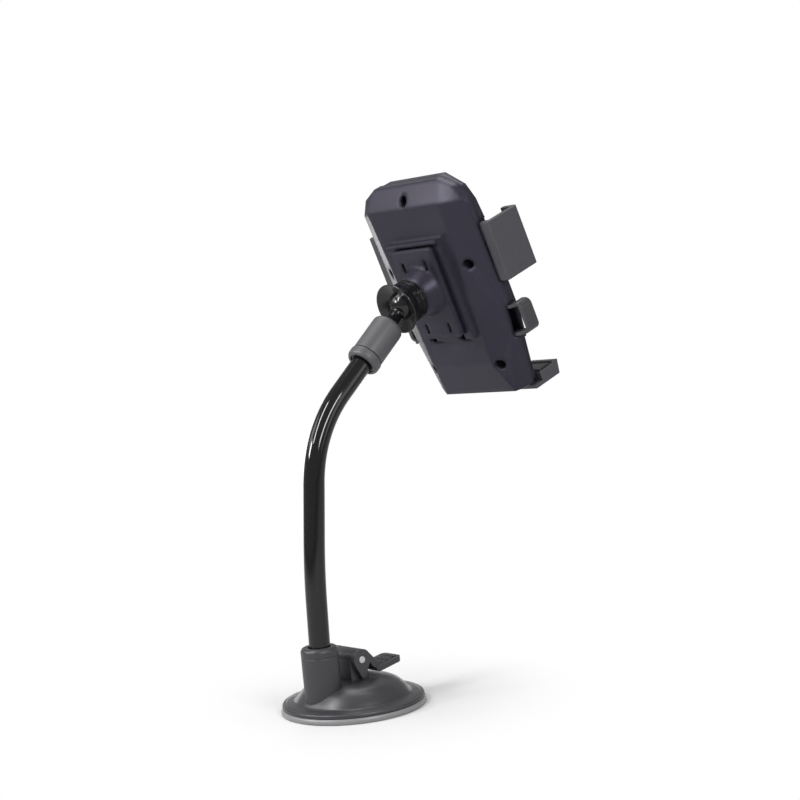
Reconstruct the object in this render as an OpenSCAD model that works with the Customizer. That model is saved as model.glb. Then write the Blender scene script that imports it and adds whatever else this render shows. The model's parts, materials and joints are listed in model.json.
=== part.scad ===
// Suction-cup phone holder with a gooseneck and a squeeze cradle.
// Millimetres. +Z is up and z = 0 is the surface that the suction pad rests on.
// The origin is the middle of the pad. The screen side of the cradle faces -Y,
// and the neck, the ball joint and the lever all lie in the plane x = 0.

/* [Suction base] */
// Diameter of the soft suction pad
pad_d = 66.4; // [56:0.2:80]
// Thickness of the pad at its rim
pad_t = 2.6; // [2:0.1:4]
// Diameter of the shell's flange
flange_d = 65; // [54:0.2:78]
// Thickness of the flange
flange_t = 2.2; // [1.6:0.1:3.2]
// Diameter of the dome where it meets the flange
dome_d = 54; // [46:0.5:60]
// Height of the dome's top above the pad
dome_h = 10.8; // [9.5:0.1:14]
// Wall of the moulded shell
shell_wall = 2; // [1.6:0.1:2.6]

/* [Neck socket] */
// Diameter of the column that holds the neck
column_d = 17; // [15:0.1:20]
// Height of the column above the pad
column_h = 29; // [22:0.5:36]
// Distance from the middle of the cup to the column
column_y = 17; // [15.5:0.1:20]

/* [Lever] */
// Width across the two cam ears
yoke_w = 18; // [16:0.1:20]
// Thickness of an ear
ear_t = 2.6; // [2:0.1:3.2]
// Radius of the round top of an ear
ear_r = 4.8; // [4:0.1:6]
// Distance from the pin to the tip of the cam
cam_reach = 8.9; // [8:0.1:10]
// Diameter of the lever pin
pin_d = 3.5; // [2.5:0.1:4]
// Reach of the thumb blade beyond the pin
blade_l = 26; // [20:0.5:34]
// Width of the thumb blade
blade_w = 13; // [9:0.5:16]
// Thickness of the thumb blade
blade_t = 2.3; // [1.8:0.1:3]
// Length of the pull block along the lever
block_l = 10; // [8:0.1:11]

/* [Gooseneck] */
// Outer diameter of the black sleeve
neck_d = 9.6; // [8:0.1:12]
// Diameter of the wound steel core
core_d = 7; // [5:0.1:8]
// Depth of the neck in the column
neck_seat = 12; // [8:0.5:18]
// Lean of the neck where it leaves the column
lean_low = 2; // [0:0.5:4]
// Lean of the neck where its main bend starts
lean_mid = 7; // [5:0.5:12]
// Lean of the neck in the top collar
lean_top = 50.5; // [40:0.5:60]
// Radius of the main bend
bend_r = 57; // [40:1:80]

/* [Collar and ball] */
// Diameter of the top collar
collar_d = 15; // [13:0.1:18]
// Length of the top collar
collar_l = 25; // [20:0.5:32]
// Diameter of the ball
ball_d = 14; // [12:0.1:15]
// Diameter of the ball's stem
stem_d = 6; // [5:0.1:7]
// Bare length from the collar to the middle of the ball
stem_l = 13.4; // [12.5:0.1:16]
// Diameter across the nut's flared rim
rim_d = 24.8; // [22:0.1:27]

/* [Cradle pose] */
// Tilt of the cradle, with the screen turned up
cradle_tilt = 18.7; // [16:0.1:24]
// Turn of the cradle about its own back
cradle_roll = 2.7; // [0:0.1:5]

/* [Cradle body] */
// Width of the cradle without its jaws
body_w = 72; // [68:0.5:80]
// Height from the bottom edge to the top edge
body_h = 107.2; // [100:0.2:120]
// Depth from the rest plane to the flat back
body_t = 17; // [15.5:0.1:20]
// Thickness of the rubber rest pad
rest_t = 1; // [0.6:0.1:1.5]
// Depth of the front housing, rest pad included
parting_y = 6; // [5.8:0.1:6.8]
// Wall of the two housings
case_wall = 2; // [1.6:0.1:2.4]

/* [Jaws] */
// Opening between the jaw pads as shown
jaw_gap = 71.6; // [68:0.2:76]
// Height of a jaw
jaw_h = 28.8; // [26:0.2:30]
// Depth of a jaw in front of the rest plane
jaw_reach = 13.4; // [11:0.2:16]
// Wall of a jaw
jaw_wall = 3; // [2.4:0.1:3.2]
// Thickness of a jaw's rubber pad
jaw_pad_t = 3.2; // [2:0.1:3.6]
// Travel of each jaw towards the middle
jaw_in = 5.5; // [4:0.5:5.5]
// Travel of each jaw outwards
jaw_out = 10; // [6:0.5:10]
// Teeth of the pinion
pinion_teeth = 14; // [12:2:16]
// Module of the pinion and racks
tooth_module = 0.8; // [0.7:0.05:0.85]

/* [Buttons and foot] */
// Height of a release button
button_h = 15.4; // [12:0.2:17]
// Travel of a release button
button_travel = 2.4; // [1.5:0.1:2.6]
// Inset of each foot from the side of the body
foot_in = 4.5; // [4:0.25:7]
// Width of one foot
foot_w = 16.4; // [14.6:0.2:18]
// Reach of a foot in front of the rest plane
foot_reach = 12.6; // [10:0.2:16]

/* [Hidden] */
$fn = 64;

// Running clearance and the overrun of cuts
fit = 0.05;
slide_gap = 0.2;
free_gap = 0.3;
over = 1;

// Suction pad
pad_edge = 0.8;
pad_dish = 1.4;
pad_land_w = 3.4;
dish_share = 0.6;
boss_d = 24;
boss_h = 2.2;
stud_disc_d = 17;
stud_disc_t = 1.8;
stud_disc_z = 2.8;

// Base shell
flange_z = pad_t;
dome_z = pad_t + dome_h;
dome_flat_d = 30;
dome_shoulder_r = 9;
shoulder_share = 0.94;
column_top_z = pad_t + column_h;
column_edge = 1.2;
mark_w = 7.6;
mark_h = 0.5;
mark_depth = 0.4;
mark_drop = 4;

// Lever, cam and block
cam_tip_r = 1;
pin_z = dome_z + free_gap + cam_reach;
block_w = yoke_w - 2 * ear_t - 2 * slide_gap;
block_neck_d = 8;
elbow_share = 0.46;
elbow_drop = 8.4;
tip_drop = 6.3;
arm_crown_share = 0.7;
arm_heel_shares = [1.2, 0.9];
arm_throat_shares = [0.9, 0.4];
pad_ribs = 6;
rib_h = 0.35;
rib_w = 0.9;

// Neck route in the plane x = 0: start, straight runs, arcs
gentle_r = 330;
run_low = 31;
run_mid = 26;
run_top = 18.4;
neck_start_z = column_top_z - neck_seat;
collar_seat = 12;
ring_sides = 32;
ring_step = 4;

// Each leg of the route is [lean at its start, length if straight, radius if bent, lean at its end]
legs = [[lean_low, run_low, 0, lean_low],
        [lean_low, 0, gentle_r, lean_mid],
        [lean_mid, run_mid, 0, lean_mid],
        [lean_mid, 0, bend_r, lean_top],
        [lean_top, run_top + collar_seat, 0, lean_top]];

function heading(a) = [0, -sin(a), cos(a)];
function leg_step(leg) = leg[2] == 0
    ? leg[1] * heading(leg[0])
    : leg[2] * [0, cos(leg[3]) - cos(leg[0]), sin(leg[3]) - sin(leg[0])];
function leg_start(i) = i == 0
    ? [0, column_y, neck_start_z]
    : leg_start(i - 1) + leg_step(legs[i - 1]);

neck_end = leg_start(len(legs));
collar_start = neck_end - collar_seat * heading(lean_top);
collar_end = collar_start + collar_l * heading(lean_top);
ball_at = collar_end + stem_l * heading(lean_top);

// Collar details
collar_edge = 1.4;
collar_lip_d = 13;
groove_w = 0.7;
groove_depth = 0.6;
groove_at = 4.3;
stem_seat = 9;
stem_seat_d = 8;

// Cradle outline and facets
half_w = body_w / 2;
bottom_z = -80;
top_z = bottom_z + body_h;
top_x_share = 0.6;
shoulder_x_share = 0.85;
shoulder_drop = 4.7;
corner_drop = 12.2;
low_taper = 5;
low_half_w = half_w - low_taper;
low_corner_rise = 1.5;
foot_x_share = 0.9;
front_in = 2.2;
rim_in = front_in + case_wall;
edge_top_y = 10.5;
edge_low_y = 8;
ridge_top_in = 11;
ridge_top_x = half_w - ridge_top_in;
ridge_top_drop = 9.7;
ridge_top_z = top_z - ridge_top_drop;
ridge_low_in = 16;
ridge_low_x = half_w - ridge_low_in;
ridge_low_rise = 18;
ridge_low_z = bottom_z + ridge_low_rise;
bottom_facet_in = 12;
bottom_facet_x = half_w - bottom_facet_in;
bottom_facet_y = 12.5;

// Heights of the jaws, the buttons and the ball below the top edge
jaw_drop = 24.6;
jaw_top = top_z - jaw_drop;
jaw_z = jaw_top - jaw_h / 2;
jaw_bottom = jaw_z - jaw_h / 2;
button_drop = 12.1;
button_z = jaw_bottom - button_drop - button_h / 2;
waist_rise = 1;
waist_z = button_z + waist_rise;
ball_drop = 10.2;
ball_z = jaw_z - ball_drop;

// Ball socket, in cradle coordinates: x across, y out of the back, z up
ball_reach = 19.5;
ball_y = body_t + ball_reach;
seat_r = ball_d / 2 + fit;
spigot_wall = 1.1;
spigot_l = 5.6;
spigot_short = 0.6;
spigot_r = seat_r + spigot_wall;
spigot_back = ball_y - spigot_short;
spigot_root = spigot_back - spigot_l;
nut_wall = 1.9;
nut_waist_l = 0.8;
nut_mouth_l = 3;
nut_flare_l = 5.9;
nut_root = spigot_root + free_gap;
nut_waist_y = ball_y + nut_waist_l;
nut_mouth_y = ball_y + nut_mouth_l;
nut_rim_y = ball_y + nut_flare_l;
nut_edge = 0.7;
nut_waist_r = spigot_r + nut_wall;
socket_base_r = 12.6;
socket_step = 0.7;
socket_top_r = spigot_r + socket_step;

// Clip plate and its track on the cover
track_w = 36;
track_h = 50.5;
track_rise = 23.5;
track_top_z = ball_z + track_rise;
track_t = 2.5;
track_y = body_t + track_t;
plate_w = 28;
plate_h = 45;
plate_rise = 20.8;
plate_top_z = ball_z + plate_rise;
plate_t = 3;
plate_y = track_y + 2 * fit;
claw_x = 10;
claw_w = 3.2;
claw_hook_w = 6;
claw_l = 4.5;
claw_rise = 12.5;
claw_drop = 19;
claw_zs = [ball_z + claw_rise, ball_z - claw_drop];
claw_play = 0.4;
slot_w = claw_w + 2 * claw_play;
slot_hook_w = claw_hook_w + 2 * claw_play;
slot_rise = 16.5;
slot_top_z = ball_z + slot_rise;
hook_t = 1.4;

// Cover screws: place of each, and the seat of its head
screw_mid_in = 9.2;
screw_mid_x = half_w - screw_mid_in;
screw_mid_drop = 2.2;
screw_mid_z = jaw_z - screw_mid_drop;
screw_low_in = 13.3;
screw_low_x = half_w - screw_low_in;
screw_low_rise = 15;
screw_low_z = bottom_z + screw_low_rise;
screw_top_drop = 6.9;
screw_places = [[0, top_z - screw_top_drop], [-screw_mid_x, screw_mid_z], [screw_mid_x, screw_mid_z],
                [-screw_low_x, screw_low_z], [screw_low_x, screw_low_z]];
screw_head_d = 4.2;
screw_head_t = 1.6;
screw_d = 2;
screw_hole_d = 5;
screw_boss_d = 6.6;
screw_seat_y = 9;
screw_floor = 1.4;
screw_tip_y = rest_t + screw_floor;

// Jaws
jaw_inner_x = jaw_gap / 2 + jaw_pad_t;
jaw_outer_x = jaw_inner_x + jaw_wall;
jaw_back_y = 8;
jaw_arm_t = 3.6;
jaw_arm_y = jaw_back_y - jaw_arm_t;
jaw_edge = 0.8;
lip_w = 8.4;
lip_t = 2.6;
jaw_pad_ribs = 6;
notch_in = 2.8;
notch_x = half_w - notch_in;
arm_root_in = 5;
arm_inner_x = half_w - arm_root_in;
arm_relief = jaw_z - screw_mid_z + screw_boss_d / 2 + free_gap;
relief_x = screw_mid_x + screw_boss_d / 2 + free_gap + jaw_in;
jaw_arm_gap = 0.25;

// Racks and pinion
pitch_r = pinion_teeth * tooth_module / 2;
tooth_add = 0.72 * tooth_module;
tooth_ded = 0.95 * tooth_module;
tooth_backlash = 0.24;
pressure_angle = 20;
rack_bar = 4.2;
rack_t = 2.8;
rack_first = -ceil(jaw_out / (PI * tooth_module));
rack_last = ceil(jaw_in / (PI * tooth_module)) + 1;
pinion_t = 3.2;
pinion_y = jaw_arm_y - slide_gap;
post_shoulder_d = 7;
post_d = 4;
pinion_z = jaw_z;

// Release buttons
button_proud = 5.6;
button_outer_x = half_w + button_proud;
button_wall = 2.2;
button_arm_wall = 1.6;
button_front_y = -0.6;
button_back_y = 6.6;
button_root_y = 9;
button_root_x = arm_inner_x;
button_corner = 3;
button_room_x = button_root_x - button_travel - free_gap;
window_gap = 0.35;

// Foot slide
foot_span = body_w - 2 * foot_in;
foot_drop = 2.2;
foot_t = 6;
foot_lip_rise = 1.5;
foot_lip_t = 3.4;
foot_heel = 1;
foot_arm_w = 4;
foot_arm_t = 2.4;
foot_arm_y = 3.2;
foot_arm_h = 24;
foot_bridge_h = 8;
foot_pad_t = 1.2;
foot_arm_x = screw_low_x - screw_boss_d / 2 - free_gap - foot_arm_w / 2;
foot_bottom = bottom_z - foot_drop;

// Rest pad on the front
rest_side = 10;
rest_w = body_w - 2 * rest_side;
rest_top_in = 20.2;
rest_low_in = 13;
rest_h = body_h - rest_top_in - rest_low_in;
rest_z = bottom_z + rest_low_in + rest_h / 2;
rest_corner = 8;

// Side groove of the front housing below the buttons
groove_rise = 6;
groove_h = 17;
groove_low = bottom_z + groove_rise;
groove_top = groove_low + groove_h;
groove_in = 1.2;

charcoal = [0.20, 0.20, 0.22];
dark = [0.12, 0.12, 0.13];
gel = [0.42, 0.42, 0.44];
steel = [0.72, 0.72, 0.74];
rubber = [0.08, 0.08, 0.09];

// Shared helpers

module along_x(l, d) {
    translate([-l / 2, 0, 0]) rotate([0, 90, 0]) cylinder(h = l, d = d);
}

// Hull of a list of points
module facets(points) {
    hull() polyhedron(points, [[for (i = [0 : len(points) - 1]) i]]);
}

// A plate in the x-z plane between two depths, from a flat outline of [x, z] points
module plate_xz(y0, y1) {
    translate([0, y1, 0]) rotate([90, 0, 0]) linear_extrude(y1 - y0) children();
}

// A profile of [y, z] points carried across x, centred
module across_x(w) {
    translate([-w / 2, 0, 0]) rotate([90, 0, 90]) linear_extrude(w) children();
}

module round_rect(w, h, r) {
    hull() for (sx = [-1, 1], sy = [-1, 1])
        translate([sx * (w / 2 - r), sy * (h / 2 - r)]) circle(r, $fn = 24);
}

// A box between two corners
module box(low, high) {
    translate(low) cube(high - low);
}

module both_sides() {
    children();
    mirror([1, 0, 0]) children();
}

// Puts cradle coordinates where the ball joint holds the cradle
module in_cradle() {
    translate(ball_at) rotate([-cradle_tilt, 0, 0]) rotate([0, cradle_roll, 0])
        translate([0, -ball_y, -ball_z]) children();
}

// Axis of revolution along y, through the ball
module about_socket_axis() {
    translate([0, 0, ball_z]) rotate([-90, 0, 0]) rotate_extrude() children();
}

// Suction base

module pad_profile() {
    pad_r = pad_d / 2;
    boss_r = boss_d / 2;
    polygon([[0, pad_dish], [pad_r - pad_land_w - boss_r / 2, pad_dish * dish_share],
             [pad_r - pad_land_w, 0], [pad_r - pad_edge / 2, 0], [pad_r, pad_edge],
             [pad_r, pad_t - pad_edge], [pad_r - pad_edge / 2, pad_t], [boss_r + boss_h, pad_t],
             [boss_r, pad_t + boss_h], [0, pad_t + boss_h]]);
}

module suction_pad() {
    color(gel) difference() {
        rotate_extrude() pad_profile();
        translate([0, 0, stud_disc_z]) cylinder(h = stud_disc_t, d = stud_disc_d);
        translate([0, 0, stud_disc_z]) cylinder(h = boss_h + pad_t, d = block_neck_d);
    }
}

// Half section of the dome, drawn in by the given inset for the inside
module dome_section(inset) {
    flat_r = dome_flat_d / 2;
    foot_r = dome_d / 2 - inset;
    top = dome_h - inset;
    intersection() {
        hull() {
            square([foot_r, flange_t / 2]);
            square([flat_r - inset, top]);
            translate([foot_r - dome_shoulder_r, top - dome_shoulder_r]) intersection() {
                circle(dome_shoulder_r * shoulder_share, $fn = 32);
                square(dome_shoulder_r);
            }
        }
        square([foot_r, top]);
    }
}

module cup_shell() {
    color(charcoal) difference() {
        union() {
            translate([0, 0, flange_z]) rotate_extrude() dome_section(0);
            translate([0, 0, flange_z]) cylinder(h = flange_t, d = flange_d);
            neck_column();
        }
        difference() {
            translate([0, 0, flange_z - over]) rotate_extrude() union() {
                square([dome_d / 2 - shell_wall, over]);
                translate([0, over]) dome_section(shell_wall);
            }
            neck_column();
        }
        pad_boss_room();
        block_window();
        neck_bore();
        column_mark();
    }
}

module neck_column() {
    translate([0, column_y, flange_z]) rotate_extrude() union() {
        square([column_d / 2, column_h - column_edge]);
        square([column_d / 2 - column_edge, column_h]);
        translate([column_d / 2 - column_edge, column_h - column_edge]) circle(column_edge);
    }
}

// Room for the pad's raised middle below the column
module pad_boss_room() {
    translate([0, 0, flange_z - over])
        cylinder(h = over + boss_h + free_gap, r = boss_d / 2 + boss_h + free_gap);
}

module block_window() {
    w = block_w + 2 * slide_gap;
    l = block_l + 2 * slide_gap;
    box([-w / 2, -l / 2, dome_z - 2 * shell_wall], [w / 2, l / 2, dome_z + over]);
}

module neck_bore() {
    translate([0, column_y, neck_start_z]) rotate([lean_low, 0, 0])
        cylinder(h = neck_seat + over, d = neck_d);
}

// Short witness line below the column's rim
module column_mark() {
    z = column_top_z - mark_drop;
    translate([0, column_y, z]) rotate([0, 0, -90])
        translate([-mark_w / 2, -column_d / 2 - over + mark_depth, 0]) cube([mark_w, over, mark_h]);
}

// Lever and the block that it lifts

module pull_block() {
    color(charcoal) difference() {
        union() {
            across_x(block_w) union() {
                translate([0, pin_z]) circle(ear_r);
                translate([-block_l / 2, dome_z - shell_wall - slide_gap])
                    square([block_l, pin_z - dome_z + shell_wall + slide_gap]);
            }
            translate([0, 0, stud_disc_z])
                cylinder(h = dome_z - shell_wall - stud_disc_z, d = block_neck_d);
            translate([0, 0, stud_disc_z]) cylinder(h = stud_disc_t, d = stud_disc_d);
        }
        translate([0, 0, pin_z]) along_x(yoke_w, pin_d);
    }
}

module lever_pin() {
    color(steel) translate([0, 0, pin_z]) along_x(yoke_w, pin_d);
}

// Side outline of a cam ear, about the pin
module ear_outline() {
    hull() {
        circle(ear_r);
        translate([0, cam_tip_r - cam_reach]) circle(cam_tip_r, $fn = 32);
    }
}

// Side outline of the arm and the thumb blade, about the pin, towards -y
module arm_outline() {
    elbow = -blade_l * elbow_share;
    polygon([ear_r * [-arm_crown_share, arm_crown_share],
             [elbow, blade_t - elbow_drop], [-blade_l, blade_t - tip_drop],
             [-blade_l, -tip_drop], [elbow, -elbow_drop],
             -ear_r * arm_heel_shares, -ear_r * arm_throat_shares]);
}

module lever() {
    color(charcoal) translate([0, 0, pin_z]) difference() {
        union() {
            for (side = [-1, 1]) translate([side * (yoke_w - ear_t) / 2, 0, 0])
                across_x(ear_t) ear_outline();
            intersection() {
                across_x(yoke_w) arm_outline();
                blade_plan();
            }
            thumb_ribs();
        }
        box([-block_w / 2 - slide_gap, -block_l / 2 - 3 * slide_gap, -cam_reach],
            [block_w / 2 + slide_gap, block_l, ear_r + over]);
        along_x(yoke_w + over, pin_d);
    }
}

// Plan of the lever: wide at the yoke, narrower at the blade
module blade_plan() {
    neck = block_l / 2 + ear_t;
    translate([0, 0, -cam_reach - over]) linear_extrude(cam_reach + ear_r + 2 * over) union() {
        polygon([[-yoke_w / 2, 0], [-yoke_w / 2, -neck], [-blade_w / 2, -neck - ear_t],
                 [blade_w / 2, -neck - ear_t], [yoke_w / 2, -neck], [yoke_w / 2, 0]]);
        translate([0, -blade_l / 2 - neck / 2])
            round_rect(blade_w, blade_l - neck, ear_t);
    }
}

// Grip ribs across the thumb blade
module thumb_ribs() {
    elbow = blade_l * elbow_share;
    length = blade_l - elbow;
    rise = elbow_drop - tip_drop;
    for (i = [1 : pad_ribs]) {
        share = i / (pad_ribs + 1);
        y = -elbow - length * share;
        z = blade_t - elbow_drop + rise * share;
        translate([0, y, z - rib_h]) linear_extrude(2 * rib_h)
            square([blade_w - 2 * ear_t, rib_w], center = true);
    }
}

// Gooseneck

// Middle points of the rings on one leg, each with its lean
function leg_stations(i) =
    let (leg = legs[i],
         steps = leg[2] == 0 ? 1 : ceil((leg[3] - leg[0]) / ring_step))
    [for (k = [0 : steps - 1])
        let (a = leg[0] + (leg[3] - leg[0]) * k / steps)
        [leg_start(i) + leg[2] * [0, cos(a) - cos(leg[0]), sin(a) - sin(leg[0])], a]];

function stations() = concat([for (i = [0 : len(legs) - 1]) each leg_stations(i)],
                             [[neck_end, lean_top]]);

function ring(station, r) =
    [for (k = [0 : ring_sides - 1])
        let (turn = 360 * k / ring_sides)
        station[0] + r * [cos(turn), sin(turn) * cos(station[1]), sin(turn) * sin(station[1])]];

// Faces between the rings of one skin whose points start at the given index
function skin(first, count) =
    [for (j = [0 : count - 2], k = [0 : ring_sides - 1])
        let (n = (k + 1) % ring_sides,
             low = first + j * ring_sides,
             high = low + ring_sides)
        [low + k, high + k, high + n, low + n]];

// A round rod swept along the neck's route
module neck_rod(d) {
    rings = stations();
    last = (len(rings) - 1) * ring_sides;
    loop = [for (k = [0 : ring_sides - 1]) k];
    polyhedron([for (station = rings) each ring(station, d / 2)],
               concat([loop], [[for (k = reversed(loop)) last + k]], skin(0, len(rings))));
}

// A round tube swept along the same route
module neck_tube(d, hole_d) {
    rings = stations();
    hole = len(rings) * ring_sides;
    last = hole - ring_sides;
    ends = [for (k = [0 : ring_sides - 1])
        let (n = (k + 1) % ring_sides)
        each [[k, n, hole + n, hole + k],
              [last + n, last + k, hole + last + k, hole + last + n]]];
    polyhedron(concat([for (station = rings) each ring(station, d / 2)],
                      [for (station = rings) each ring(station, hole_d / 2)]),
               concat(ends, skin(0, len(rings)),
                      [for (face = skin(hole, len(rings))) reversed(face)]));
}

module neck_core() {
    color(steel) neck_rod(core_d);
}

module neck_sleeve() {
    color(dark) neck_tube(neck_d, core_d + 2 * fit);
}

// Collar, ball stud and lock nut

module top_collar() {
    inner_r = neck_d / 2;
    r = collar_d / 2;
    color(charcoal) translate(collar_start) rotate([lean_top, 0, 0]) rotate_extrude() difference() {
        union() {
            translate([0, collar_edge]) square([r, collar_l - 2 * collar_edge]);
            square([r - collar_edge, collar_l]);
            translate([r - collar_edge, collar_l - collar_edge]) circle(collar_edge);
            translate([r - collar_edge, collar_edge]) circle(collar_edge);
        }
        square([inner_r, collar_seat]);
        square([collar_lip_d / 2 - collar_edge / 2, collar_edge]);
        translate([0, collar_l - stem_seat]) square([stem_d / 2, stem_seat + over]);
        translate([0, collar_l - stem_seat]) square([stem_seat_d / 2, stem_seat / 2]);
        translate([r - groove_depth, groove_at]) square([over, groove_w]);
        translate([-r - over, -over]) square([r + over, collar_l + 2 * over]);
    }
}

module ball_stud() {
    color(dark) translate(ball_at) rotate([lean_top, 0, 0]) union() {
        sphere(d = ball_d);
        translate([0, 0, -stem_l - stem_seat + slide_gap])
            cylinder(h = stem_l + stem_seat - slide_gap, d = stem_d - 2 * fit);
        translate([0, 0, -stem_l - stem_seat + slide_gap])
            cylinder(h = stem_seat / 2 - 2 * slide_gap, d = stem_seat_d - 2 * slide_gap);
    }
}

// Half section of the nut: [radius, distance along the socket's axis]
module nut_section() {
    bore = spigot_r + 2 * fit;
    mouth_r = sqrt(seat_r * seat_r - pow(nut_mouth_y - ball_y, 2));
    rim_r = rim_d / 2;
    difference() {
        polygon([[0, nut_root], [nut_waist_r - nut_edge, nut_root], [nut_waist_r, nut_root + nut_edge],
                 [nut_waist_r, nut_waist_y], [(nut_waist_r + rim_r) / 2 - nut_edge / 2, nut_mouth_y],
                 [rim_r - nut_edge / 2, nut_rim_y - nut_edge], [rim_r, nut_rim_y - nut_edge / 2],
                 [rim_r - nut_edge / 2, nut_rim_y], [0, nut_rim_y]]);
        polygon([[0, nut_root - over], [bore, nut_root - over], [bore, ball_y], [0, ball_y]]);
        translate([0, ball_y]) circle(seat_r);
        polygon([[0, nut_mouth_y - over], [mouth_r, nut_mouth_y - over], [mouth_r, nut_mouth_y],
                 [rim_r - nut_edge, nut_rim_y], [rim_r - nut_edge, nut_rim_y + over], [0, nut_rim_y + over]]);
        for (i = [0, 1]) translate([nut_waist_r - groove_depth, nut_root + 2 * nut_edge + i * 2 * groove_w])
            square([over, groove_w]);
    }
}

module lock_nut() {
    color(dark) in_cradle() about_socket_axis() right_half() nut_section();
}

module right_half() {
    intersection() {
        children();
        translate([0, -body_w]) square([body_w, 3 * body_w]);
    }
}

// Clip plate with the ball socket

module socket_section() {
    polygon([[0, plate_y + plate_t / 2], [socket_base_r, plate_y + plate_t / 2],
             [socket_base_r, plate_y + plate_t], [socket_top_r + nut_edge, spigot_root - nut_edge],
             [socket_top_r, spigot_root], [spigot_r, spigot_root], [spigot_r, spigot_back],
             [0, spigot_back]]);
}

module clip_plate() {
    plate_z = plate_top_z - plate_h / 2;
    color(charcoal) in_cradle() difference() {
        union() {
            plate_xz(plate_y, plate_y + plate_t) translate([0, plate_z])
                round_rect(plate_w, plate_h, 2 * nut_edge);
            about_socket_axis() socket_section();
            for (x = [-claw_x, claw_x], z = claw_zs) claw(x, z);
        }
        translate([0, ball_y, ball_z]) sphere(seat_r);
        for (x = [-claw_x, claw_x], z = claw_zs) claw_relief(x, z);
    }
}

// A claw that hangs from the plate through the track and hooks behind it
module claw(x, z) {
    back = body_t - case_wall - slide_gap;
    box([x - claw_w / 2, back, z - claw_l / 2], [x + claw_w / 2, plate_y + plate_t / 2, z + claw_l / 2]);
    box([x - claw_hook_w / 2, back - hook_t, z - claw_l / 2],
        [x + claw_hook_w / 2, back, z + claw_l / 2]);
}

// Moulding slot in the plate beside a claw
module claw_relief(x, z) {
    s = x > 0 ? 1 : -1;
    low = x - s * (claw_w / 2 + claw_w / 4);
    box([low - claw_w / 4, plate_y - over, z - claw_l / 2 - slide_gap],
        [low + claw_w / 4, plate_y + plate_t + over, z + claw_l / 2 + slide_gap]);
}

// Back cover and front housing

function outline_side(s, inset) = [
    [s * (half_w * top_x_share - inset / 2), top_z - inset],
    [s * (half_w * shoulder_x_share - inset / 2), top_z - shoulder_drop - inset],
    [s * (half_w - inset), top_z - corner_drop - inset / 2],
    [s * (half_w - inset), waist_z],
    [s * (low_half_w - inset), bottom_z + low_corner_rise + inset / 2],
    [s * (low_half_w * foot_x_share - inset / 2), bottom_z + inset]];

// The front housing is narrower and its top corners are cut further
function front_side(s, inset) =
    let (narrow = front_in + inset)
    [[s * (half_w * top_x_share - narrow), top_z - inset],
     [s * (half_w * shoulder_x_share - narrow / 2), top_z - shoulder_drop - narrow],
     [s * (half_w - 3 * front_in / 2 - inset), top_z - corner_drop - narrow],
     [s * (half_w - narrow), top_z - 2 * corner_drop],
     [s * (half_w - narrow), waist_z],
     [s * (low_half_w - narrow), bottom_z + low_corner_rise + inset / 2],
     [s * (low_half_w * foot_x_share - narrow), bottom_z + inset]];

function reversed(list) = [for (i = [len(list) - 1 : -1 : 0]) list[i]];

function outline(inset) = concat(outline_side(1, inset), reversed(outline_side(-1, inset)));

function front_outline(inset) = concat(front_side(1, inset), reversed(front_side(-1, inset)));

// Side of the front housing at height z, below the waist
function front_x(z) = half_w - front_in
    - (half_w - low_half_w) * (waist_z - z) / (waist_z - bottom_z - low_corner_rise);

// Corner points of the faceted back, for one side
function back_corners(s, inset) = [
    [s * (ridge_top_x - inset), body_t - inset, ridge_top_z - inset],
    [s * (ridge_low_x - inset), body_t - inset, ridge_low_z],
    [s * (bottom_facet_x - inset), bottom_facet_y - inset, bottom_z + inset]];

function edge_y(z) = edge_low_y + (edge_top_y - edge_low_y) * (z - bottom_z) / body_h;

module faceted_back(inset, rim_inset, front_y) {
    rim = outline(rim_inset);
    facets(concat([for (p = rim) [p[0], front_y, p[1]]],
                  [for (p = rim) [p[0], edge_y(p[1]) - inset / 2, p[1]]],
                  back_corners(1, inset), back_corners(-1, inset)));
}

module jaw_notch(x, y0, y1) {
    box([x, y0, jaw_bottom - free_gap], [half_w + over, y1, jaw_top + free_gap]);
}

module button_window(x, y0, y1) {
    reach = button_h / 2 + window_gap;
    box([x, y0, button_z - reach], [half_w + over, y1, button_z + reach]);
}

module at_screws() {
    for (p = screw_places) translate([p[0], 0, p[1]]) rotate([-90, 0, 0]) children();
}

module back_cover() {
    color(charcoal) in_cradle() difference() {
        union() {
            difference() {
                faceted_back(0, 0, parting_y);
                faceted_back(case_wall, rim_in, parting_y - over);
                both_sides() jaw_notch(notch_x - case_wall, parting_y - over, jaw_back_y + free_gap);
                both_sides() button_window(button_room_x, parting_y - over, button_root_y + window_gap);
            }
            track();
            intersection() {
                at_screws() translate([0, 0, screw_seat_y - case_wall])
                    cylinder(h = body_t, d = screw_boss_d);
                faceted_back(case_wall / 2, case_wall / 2, parting_y);
            }
        }
        clip_slots();
        at_screws() translate([0, 0, screw_seat_y]) cylinder(h = body_t, d = screw_hole_d);
        at_screws() cylinder(h = body_t, d = screw_d + 2 * slide_gap);
    }
}

// Raised track that the clip plate slides into
module track() {
    z = track_top_z - track_h / 2;
    plate_xz(body_t - case_wall / 2, track_y) translate([0, z]) square([track_w, track_h], center = true);
    box([-track_w / 2, track_y - over / 2, track_top_z - claw_w / 2],
        [track_w / 2, plate_y + plate_t / 2, track_top_z]);
}

module clip_slots() {
    floor_z = track_top_z - track_h;
    back = body_t - case_wall - slide_gap;
    for (x = [-claw_x, claw_x]) {
        box([x - slot_w / 2, back - over, floor_z - over], [x + slot_w / 2, track_y + over, slot_top_z]);
        box([x - slot_hook_w / 2, body_t - case_wall - over, floor_z - over],
            [x + slot_hook_w / 2, body_t, floor_z + claw_l]);
    }
}

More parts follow.
